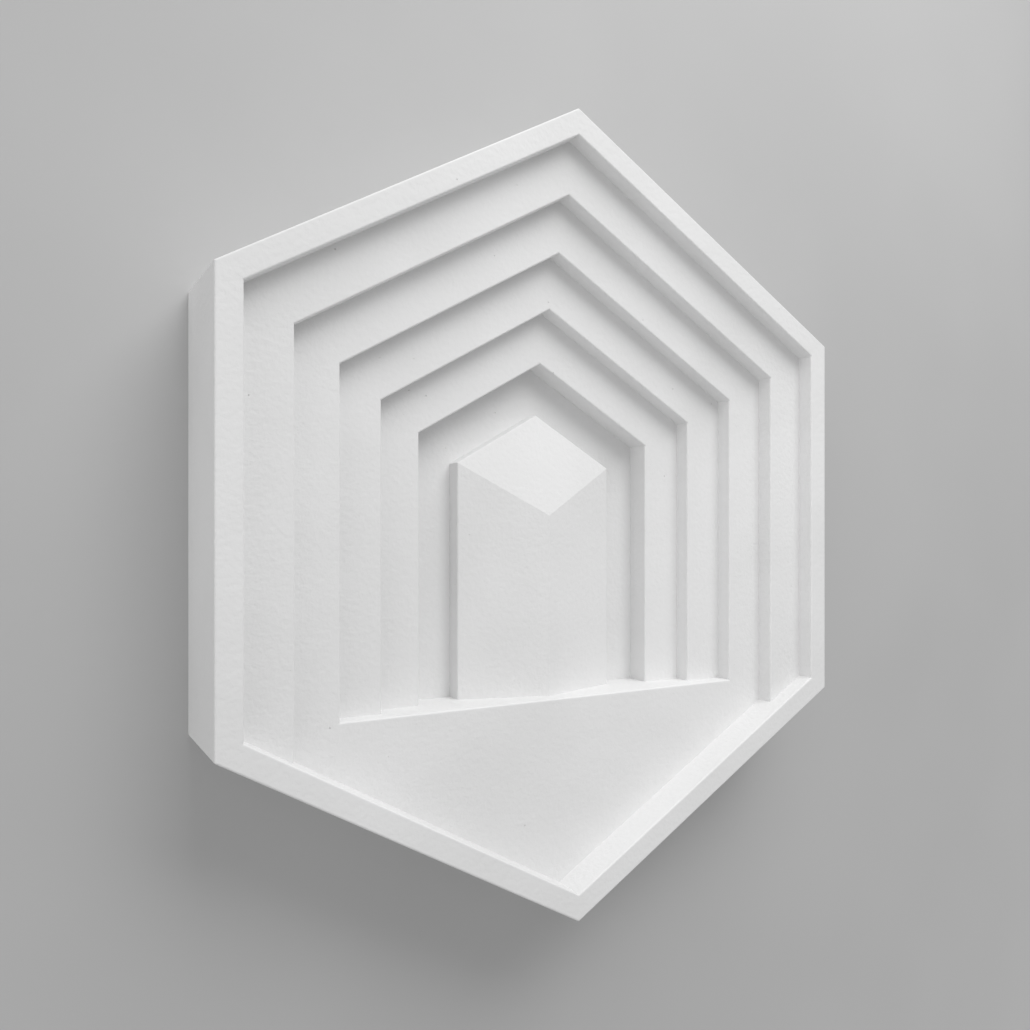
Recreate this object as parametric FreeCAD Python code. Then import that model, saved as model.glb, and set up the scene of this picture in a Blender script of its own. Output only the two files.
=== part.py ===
import FreeCAD, Part

import math
import os

# Hexagonal relief tile for a wall, cast in one piece and hung with a corner up.
# It lies on its flat back: +Z runs from the back to the front, +Y to the upper corner.

# Driving dimensions, in millimetres
ACROSS_FLATS = 150.0  # between opposite sides of the hexagon
RIM_WIDTH = 5.0  # flat border round the relief
TERRACE_WIDTH = 10.0  # each terrace, square to its edge
TERRACE_COUNT = 4  # terraces from the rim down to the floor
LANE_WIDTH = 10.0  # strip of floor between the last terrace and the pillar
BASE_THICKNESS = 3.0  # plate behind the floor
FLOOR_DROP = 6.0  # last terrace to the floor
STEP_HEIGHT = 4.0  # rim to the first terrace, and each terrace to the next
PILLAR_EDGE_HEIGHT = 4.0  # pillar's side edges above the floor
PILLAR_RIDGE_HEIGHT = 10.0  # pillar's ridge above the floor
ARRIS_RADIUS = 0.4  # softened edges along the top of each wall and down the outer corners

# The first terrace runs all round. The second widens into a triangular shelf at the
# lower corner, and the shelf's straight edge ends the deeper terraces and the pillar.
SHELF_TERRACE = 2

# Heights and half widths that follow
floor_z = BASE_THICKNESS
last_terrace_z = floor_z + FLOOR_DROP
front_z = last_terrace_z + TERRACE_COUNT * STEP_HEIGHT
rim_apothem = ACROSS_FLATS / 2 - RIM_WIDTH
floor_half_width = rim_apothem - TERRACE_COUNT * TERRACE_WIDTH
pillar_half_width = floor_half_width - LANE_WIDTH


def corner_reach(apothem):
    """Distance from a hexagon's centre to its corners."""
    return apothem / math.cos(math.pi / 6)


rim_lower_corner_y = -corner_reach(rim_apothem)
shelf_edge_y = rim_lower_corner_y / 2  # level with the two corners above the lower one


def prism(outline, bottom_z, top_z):
    """Upright solid on a closed outline of (x, y) corners."""
    corners = [FreeCAD.Vector(x, y, bottom_z) for x, y in outline]
    wire = Part.makePolygon(corners + corners[:1])
    return Part.Face(wire).extrude(FreeCAD.Vector(0, 0, top_z - bottom_z))


def hexagon(apothem):
    """Corners of a regular hexagon with a corner on +Y."""
    reach = corner_reach(apothem)
    angles = [math.radians(90 + 60 * turn) for turn in range(6)]
    return [(reach * math.cos(angle), reach * math.sin(angle)) for angle in angles]


def gable(half_width, foot_y):
    """Hexagon's upper half with its sides run straight down to a level foot."""
    reach = corner_reach(half_width)
    return [
        (0, reach),
        (-half_width, reach / 2),
        (-half_width, foot_y),
        (half_width, foot_y),
        (half_width, reach / 2),
    ]


def recess(step):
    """Space above one terrace, or above the floor for the step past the last terrace."""
    half_width = rim_apothem - (step - 1) * TERRACE_WIDTH
    bottom_z = floor_z if step > TERRACE_COUNT else front_z - step * STEP_HEIGHT
    if step == 1:
        return prism(hexagon(rim_apothem), bottom_z, front_z)
    if step > SHELF_TERRACE:
        return prism(gable(half_width, shelf_edge_y), bottom_z, front_z)
    inside_rim = prism(hexagon(rim_apothem), bottom_z, front_z)
    return inside_rim.common(prism(gable(half_width, rim_lower_corner_y), bottom_z, front_z))


def pillar():
    """Ridged pillar on the floor: half a hexagonal pyramid drawn out down to the shelf."""
    edge_z = floor_z + PILLAR_EDGE_HEIGHT
    ridge_z = floor_z + PILLAR_RIDGE_HEIGHT
    foot = prism(gable(pillar_half_width, shelf_edge_y), floor_z, edge_z)

    base_corners = [FreeCAD.Vector(x, y, edge_z) for x, y in hexagon(pillar_half_width)]
    peak = FreeCAD.Vector(0, 0, ridge_z)
    sides = [
        Part.Face(Part.makePolygon([start, end, peak, start]))
        for start, end in zip(base_corners, base_corners[1:] + base_corners[:1])
    ]
    base = Part.Face(Part.makePolygon(base_corners + base_corners[:1]))
    pyramid = Part.Solid(Part.makeShell(sides + [base]))

    gable_end = [
        FreeCAD.Vector(-pillar_half_width, shelf_edge_y, edge_z),
        FreeCAD.Vector(pillar_half_width, shelf_edge_y, edge_z),
        FreeCAD.Vector(0, shelf_edge_y, ridge_z),
    ]
    roof_section = Part.Face(Part.makePolygon(gable_end + gable_end[:1]))
    roof = roof_section.extrude(FreeCAD.Vector(0, -shelf_edge_y, 0))
    return foot.fuse([roof, pyramid]).removeSplitter()


def same(first, second):
    """Equal but for rounding."""
    return math.isclose(first, second, abs_tol=1e-6)


def wall_top_edges(solid):
    """Level edges along the top of the upright walls."""
    edges = []
    for wall in solid.Faces:
        if same(wall.normalAt(0, 0).z, 0):
            edges += [edge for edge in wall.Edges if same(edge.BoundBox.ZMin, wall.BoundBox.ZMax)]
    return edges


def outer_corner_edges(solid):
    """Upright edges at the six outer corners, the only ones as tall as the tile."""
    return [edge for edge in solid.Edges if same(edge.BoundBox.ZLength, front_z)]


def tile():
    """Hexagonal slab with the stepped recess, the pillar and softened edges."""
    slab = prism(hexagon(ACROSS_FLATS / 2), 0, front_z)
    steps = range(1, TERRACE_COUNT + 2)
    sunk = slab.cut([recess(step) for step in steps])
    whole = sunk.fuse(pillar()).removeSplitter()
    return whole.makeFillet(ARRIS_RADIUS, wall_top_edges(whole) + outer_corner_edges(whole))


os.makedirs("parts", exist_ok=True)
tile().exportStep("parts/relief_tile.step")
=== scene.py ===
import math

import bpy
from mathutils import Matrix, Vector


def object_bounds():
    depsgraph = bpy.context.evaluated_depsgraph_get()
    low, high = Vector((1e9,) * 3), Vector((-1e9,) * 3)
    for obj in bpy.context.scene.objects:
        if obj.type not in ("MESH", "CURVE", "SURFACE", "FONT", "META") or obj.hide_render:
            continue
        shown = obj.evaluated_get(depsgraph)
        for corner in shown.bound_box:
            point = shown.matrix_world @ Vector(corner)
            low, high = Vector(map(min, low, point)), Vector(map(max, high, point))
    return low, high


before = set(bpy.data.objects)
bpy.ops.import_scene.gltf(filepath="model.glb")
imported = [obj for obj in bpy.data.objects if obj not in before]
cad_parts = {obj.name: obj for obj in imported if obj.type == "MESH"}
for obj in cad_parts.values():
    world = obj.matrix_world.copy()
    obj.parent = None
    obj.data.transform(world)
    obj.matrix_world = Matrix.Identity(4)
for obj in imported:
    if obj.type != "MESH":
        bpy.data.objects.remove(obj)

# A white hexagonal wall tile of cast gypsum, lying on its back on a pale studio floor.
# Lengths are in metres, in the tile's own frame: +Z off the back, +Y to its upper corner.

cad_low, cad_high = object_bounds()
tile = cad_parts["relief_tile"]
front_centre = Vector((0, 0, cad_high.z))

# The camera stands to the tile's left and looks across its front, with the upper corner up.
PICTURE_PIXELS = 1030
FOCAL_PIXELS = 896.9
AXIS_ROW_PIXELS = 528.6  # row of the picture that the camera's axis runs through
CAMERA_TURN = math.radians(29.65)  # round from straight in front
CAMERA_REACH = 0.1908  # along the camera's axis to the middle of the front
FRONT_RIGHT_OF_AXIS = 0.01366
FRONT_ABOVE_AXIS = 0.00293
SENSOR_WIDTH_MM = 36.0
NEAREST_SEEN = 0.01

# Studio: a soft box over the upper right side, and light from all round that is stronger
# near the horizon and on the left.
KEY_AZIMUTH, KEY_ELEVATION = math.radians(78), math.radians(35)
KEY_REACH, KEY_SIZE, KEY_WATTS = 0.45, 0.36, 0.575
KEY_SPREAD = math.radians(100)  # a grid on the box narrows its light
SURROUND_STRENGTH, HORIZON_STRENGTH, LEFT_STRENGTH = 0.39, 0.32, 0.60
HORIZON_FADE, LEFT_FADE = 2.0, 2.0  # the more, the closer to the horizon or the left it stays
LEFT_AZIMUTH, LEFT_ELEVATION = math.radians(172), math.radians(10)
WHITE = (1, 1, 1, 1)

# The soft box only reaches the floor near the tile, so the floor is a whiter grey further out.
FLOOR_SIZE = 12.0
NEAR_FLOOR_TONE = (0.49, 0.49, 0.49, 1)
FAR_FLOOR_TONE = (0.82, 0.82, 0.82, 1)
NEAR_FLOOR_RADIUS, FAR_FLOOR_RADIUS = 0.10, 0.60
FLOOR_CLOUD_SIZE, FLOOR_CLOUD_SHARE = 0.08, 0.06  # faint clouds of the whiter grey near the tile
FLOOR_ROUGHNESS, FLOOR_SPECULAR = 1.0, 0.0
BACKDROP_TONE = (0.45, 0.45, 0.45, 1)  # as bright as the lit floor far off

# Cast gypsum: pale clouds in the tone, a fine grain, and air bubbles cut open at the surface, with
# painted shade in their pits.
DENSE_TONE = (0.745, 0.745, 0.744, 1)
CHALKY_TONE = (0.795, 0.795, 0.796, 1)
DENSE_ROUGHNESS, CHALKY_ROUGHNESS = 0.82, 0.94
GYPSUM_SPECULAR = 0.3
GYPSUM_CLOUD_SIZE = 0.03
GRAIN_SIZE, GRAIN_HEIGHT_MM = 0.0011, 0.09
SKIN_SIZE, SKIN_HEIGHT_MM = 0.010, 0.10
GRAIN_IN_TONE = 0.3  # how much of the tone's change is grain and not clouds
BUBBLE_SPACING, FACE_BUBBLE_RADIUS, BACK_BUBBLE_RADIUS = 0.004, 0.00025, 0.0009
BUBBLE_RARITY = 2.0  # the more, the fewer bubbles come near the largest radius
PIT_FLOOR_SHARE = 0.4  # of a bubble's radius, within which its pit is at full depth
PIT_DEPTH_MM = 0.12
# Painted shade: a darker colour inside the bubble pits stands in for the shadow that the bump can't cast
# there.
PIT_PAINTED_SHADE = (0.64, 0.64, 0.64, 1)

# The back was levelled with a straight edge while it was wet, so strokes run across it.
BACK_LAYER = 0.0002  # how far off the back face it still looks like the back
STROKE_LENGTH, STROKE_WIDTH, STROKE_HEIGHT_MM = 0.12, 0.003, 0.25

CLOUD_START, CLOUD_FULL = 0.3, 0.7  # noise at which a cloud starts and is full
NOISE_DETAIL = 2.0
MILLIMETRE = 0.001
MIX_A, MIX_B, MIX_RESULT = 6, 7, 2  # a Mix node's colour sockets


def drop_selection():
    for thing in bpy.context.selected_objects:
        thing.select_set(False)


def add_node(tree, kind, inputs=None, **settings):
    """New node with its settings. Each input is a plain value or another node's output."""
    node = tree.nodes.new(kind)
    for name, value in settings.items():
        setattr(node, name, value)
    for name, value in (inputs or {}).items():
        if isinstance(value, bpy.types.NodeSocket):
            tree.links.new(value, node.inputs[name])
        else:
            node.inputs[name].default_value = value
    return node


def reckon(tree, operation, *terms):
    """Math node on plain numbers or other nodes' outputs."""
    return add_node(tree, "ShaderNodeMath", dict(enumerate(terms)), operation=operation).outputs[0]


def fade(tree, value, start, end):
    """Goes smoothly from 0 where the value is at start to 1 where it is at end."""
    limits = {"Value": value, "From Min": start, "From Max": end}
    ramp = add_node(tree, "ShaderNodeMapRange", limits, interpolation_type="SMOOTHSTEP")
    return ramp.outputs["Result"]


def lumps(tree, place, scale):
    """Noise about 0.5, with so many lumps to each unit of place."""
    inputs = {"Vector": place, "Scale": scale, "Detail": NOISE_DETAIL}
    return add_node(tree, "ShaderNodeTexNoise", inputs).outputs[0]


def blend_colours(tree, share, first, second):
    """The first colour where the share is 0, and the second where it is 1."""
    inputs = {"Factor": share, MIX_A: first, MIX_B: second}
    return add_node(tree, "ShaderNodeMix", inputs, data_type="RGBA").outputs[MIX_RESULT]


def cloud_group():
    """Node group of soft clouds, from 0 to 1, all of about one size."""
    group = bpy.data.node_groups.new("tone_clouds", "ShaderNodeTree")
    group.interface.new_socket("Place", in_out="INPUT", socket_type="NodeSocketVector")
    group.interface.new_socket("Size", in_out="INPUT", socket_type="NodeSocketFloat")
    group.interface.new_socket("Clouds", in_out="OUTPUT", socket_type="NodeSocketFloat")
    given = group.nodes.new("NodeGroupInput").outputs
    result = group.nodes.new("NodeGroupOutput").inputs
    scale = reckon(group, "DIVIDE", 1.0, given["Size"])
    cloudy = fade(group, lumps(group, given["Place"], scale), CLOUD_START, CLOUD_FULL)
    group.links.new(cloudy, result["Clouds"])
    return group


def add_clouds(tree, clouds, place, size):
    inputs = {"Place": place, "Size": size}
    return add_node(tree, "ShaderNodeGroup", inputs, node_tree=clouds).outputs["Clouds"]


def bubble_pits(tree, place, most_radius):
    """Air bubbles all through the cast: 1 deep in one that the surface cuts, 0 on sound surface."""
    cells = add_node(tree, "ShaderNodeTexVoronoi", {"Vector": place, "Scale": 1 / BUBBLE_SPACING}).outputs
    distance = reckon(tree, "MULTIPLY", cells["Distance"], BUBBLE_SPACING)
    chance = add_node(tree, "ShaderNodeSeparateColor", {"Color": cells["Color"]}).outputs["Red"]
    radius = reckon(tree, "MULTIPLY", most_radius, reckon(tree, "POWER", chance, BUBBLE_RARITY))
    return fade(tree, distance, radius, reckon(tree, "MULTIPLY", radius, PIT_FLOOR_SHARE))


def new_material(name):
    """Material with its node tree, shader node and the place on its piece."""
    material = bpy.data.materials.new(name)
    material.use_nodes = True
    tree = material.node_tree
    place = add_node(tree, "ShaderNodeTexCoord").outputs["Object"]
    return material, tree, tree.nodes["Principled BSDF"], place


def gypsum_material(clouds):
    """Matt white gypsum: a clean moulded face and sides, and a rougher levelled back."""
    material, tree, shader, place = new_material("cast_gypsum")
    above_back = add_node(tree, "ShaderNodeSeparateXYZ", {"Vector": place}).outputs["Z"]
    back = fade(tree, above_back, BACK_LAYER, 0.0)

    coarser = BACK_BUBBLE_RADIUS - FACE_BUBBLE_RADIUS
    pits = bubble_pits(tree, place, reckon(tree, "MULTIPLY_ADD", back, coarser, FACE_BUBBLE_RADIUS))

    grain = lumps(tree, place, 1 / GRAIN_SIZE)
    cloudy = add_clouds(tree, clouds, place, GYPSUM_CLOUD_SIZE)
    chalky = reckon(tree, "ADD", reckon(tree, "MULTIPLY", grain, GRAIN_IN_TONE),
                    reckon(tree, "MULTIPLY", cloudy, 1 - GRAIN_IN_TONE))
    sound_tone = blend_colours(tree, chalky, DENSE_TONE, CHALKY_TONE)
    # Painted shade: the base colour turns darker inside the bubble pits.
    tree.links.new(blend_colours(tree, pits, sound_tone, PIT_PAINTED_SHADE), shader.inputs["Base Color"])

    roughness = reckon(tree, "MULTIPLY_ADD", cloudy, CHALKY_ROUGHNESS - DENSE_ROUGHNESS, DENSE_ROUGHNESS)
    tree.links.new(roughness, shader.inputs["Roughness"])
    shader.inputs["Specular IOR Level"].default_value = GYPSUM_SPECULAR

    skin = reckon(tree, "MULTIPLY", lumps(tree, place, 1 / SKIN_SIZE), SKIN_HEIGHT_MM)
    stroke_shape = {"Vector": place, "Scale": (1 / STROKE_LENGTH, 1 / STROKE_WIDTH, 1 / STROKE_WIDTH)}
    along_strokes = add_node(tree, "ShaderNodeMapping", stroke_shape).outputs["Vector"]
    strokes = reckon(tree, "MULTIPLY", lumps(tree, along_strokes, 1.0), STROKE_HEIGHT_MM)
    relief = reckon(tree, "MULTIPLY_ADD", grain, GRAIN_HEIGHT_MM, skin)
    relief = reckon(tree, "MULTIPLY_ADD", strokes, back, relief)
    relief = reckon(tree, "MULTIPLY_ADD", pits, -PIT_DEPTH_MM, relief)
    bump = add_node(tree, "ShaderNodeBump", {"Height": relief, "Distance": MILLIMETRE})
    tree.links.new(bump.outputs["Normal"], shader.inputs["Normal"])
    return material


def floor_material(clouds):
    """Pale grey matt studio floor that looks almost even."""
    material, tree, shader, place = new_material("studio_floor")
    radius = add_node(tree, "ShaderNodeVectorMath", {0: place}, operation="LENGTH").outputs["Value"]
    far = fade(tree, radius, NEAR_FLOOR_RADIUS, FAR_FLOOR_RADIUS)
    cloudy = add_clouds(tree, clouds, place, FLOOR_CLOUD_SIZE)
    whiter = reckon(tree, "MULTIPLY_ADD", cloudy, FLOOR_CLOUD_SHARE, far)
    tone = blend_colours(tree, whiter, NEAR_FLOOR_TONE, FAR_FLOOR_TONE)
    tree.links.new(tone, shader.inputs["Base Color"])
    shader.inputs["Roughness"].default_value = FLOOR_ROUGHNESS
    shader.inputs["Specular IOR Level"].default_value = FLOOR_SPECULAR
    return material


def add_floor(clouds):
    drop_selection()
    bpy.ops.mesh.primitive_plane_add(size=FLOOR_SIZE, location=(0, 0, cad_low.z))
    floor = bpy.context.object
    floor.name = "studio_floor"
    floor.data.materials.append(floor_material(clouds))


def towards(azimuth, elevation):
    """Direction at an angle round from +X and an angle up from the floor."""
    level = math.cos(elevation)
    return Vector((level * math.cos(azimuth), level * math.sin(azimuth), math.sin(elevation)))


def add_soft_box():
    """Square soft box that faces the middle of the tile's front."""
    to_box = towards(KEY_AZIMUTH, KEY_ELEVATION)
    drop_selection()
    bpy.ops.object.light_add(type="AREA", location=front_centre + to_box * KEY_REACH)
    lamp = bpy.context.object
    lamp.name = "soft_box"
    lamp.rotation_euler = to_box.to_track_quat("Z", "Y").to_euler()
    lamp.data.shape = "SQUARE"
    lamp.data.size = KEY_SIZE
    lamp.data.energy = KEY_WATTS
    lamp.data.spread = KEY_SPREAD
    lamp.visible_camera = False


def add_surround():
    """Light from all round. Looked at, it is a plain pale grey."""
    world = bpy.data.worlds.new("studio_surround")
    world.use_nodes = True
    tree = world.node_tree
    direction = add_node(tree, "ShaderNodeTexCoord").outputs["Generated"]
    height = add_node(tree, "ShaderNodeSeparateXYZ", {"Vector": direction}).outputs["Z"]
    level = reckon(tree, "POWER", reckon(tree, "SUBTRACT", 1.0, height), HORIZON_FADE)
    pair = {0: direction, 1: towards(LEFT_AZIMUTH, LEFT_ELEVATION)}
    leftward = add_node(tree, "ShaderNodeVectorMath", pair, operation="DOT_PRODUCT").outputs["Value"]
    left = reckon(tree, "POWER", reckon(tree, "MAXIMUM", leftward, 0.0), LEFT_FADE)
    strength = reckon(tree, "MULTIPLY_ADD", level, HORIZON_STRENGTH, SURROUND_STRENGTH)
    strength = reckon(tree, "MULTIPLY_ADD", left, LEFT_STRENGTH, strength)
    lighting = add_node(tree, "ShaderNodeBackground", {"Color": WHITE, "Strength": strength})
    backdrop = add_node(tree, "ShaderNodeBackground", {"Color": BACKDROP_TONE})
    rays = add_node(tree, "ShaderNodeLightPath").outputs
    mirrored = reckon(tree, "MAXIMUM", rays["Is Glossy Ray"], rays["Is Transmission Ray"])
    looked_at = reckon(tree, "MAXIMUM", rays["Is Camera Ray"], mirrored)
    parts = {0: looked_at, 1: lighting.outputs[0], 2: backdrop.outputs[0]}
    mixed = add_node(tree, "ShaderNodeMixShader", parts)
    tree.links.new(mixed.outputs[0], tree.nodes["World Output"].inputs["Surface"])
    bpy.context.scene.world = world


def add_camera():
    right = Vector((math.cos(CAMERA_TURN), 0, math.sin(CAMERA_TURN)))
    up = Vector((0, 1, 0))
    back = right.cross(up)
    place = front_centre - right * FRONT_RIGHT_OF_AXIS - up * FRONT_ABOVE_AXIS + back * CAMERA_REACH
    drop_selection()
    bpy.ops.object.camera_add()
    camera = bpy.context.object
    camera.name = "picture_camera"
    camera.matrix_world = Matrix.Translation(place) @ Matrix((right, up, back)).transposed().to_4x4()
    camera.data.sensor_width = SENSOR_WIDTH_MM
    camera.data.lens = SENSOR_WIDTH_MM * FOCAL_PIXELS / PICTURE_PIXELS
    camera.data.shift_y = (AXIS_ROW_PIXELS - PICTURE_PIXELS / 2) / PICTURE_PIXELS
    camera.data.clip_start = NEAREST_SEEN
    bpy.context.scene.camera = camera


tone_clouds = cloud_group()
tile.data.materials.clear()
tile.data.materials.append(gypsum_material(tone_clouds))
add_floor(tone_clouds)
add_surround()
add_soft_box()
add_camera()
bpy.context.scene.view_settings.view_transform = "Standard"
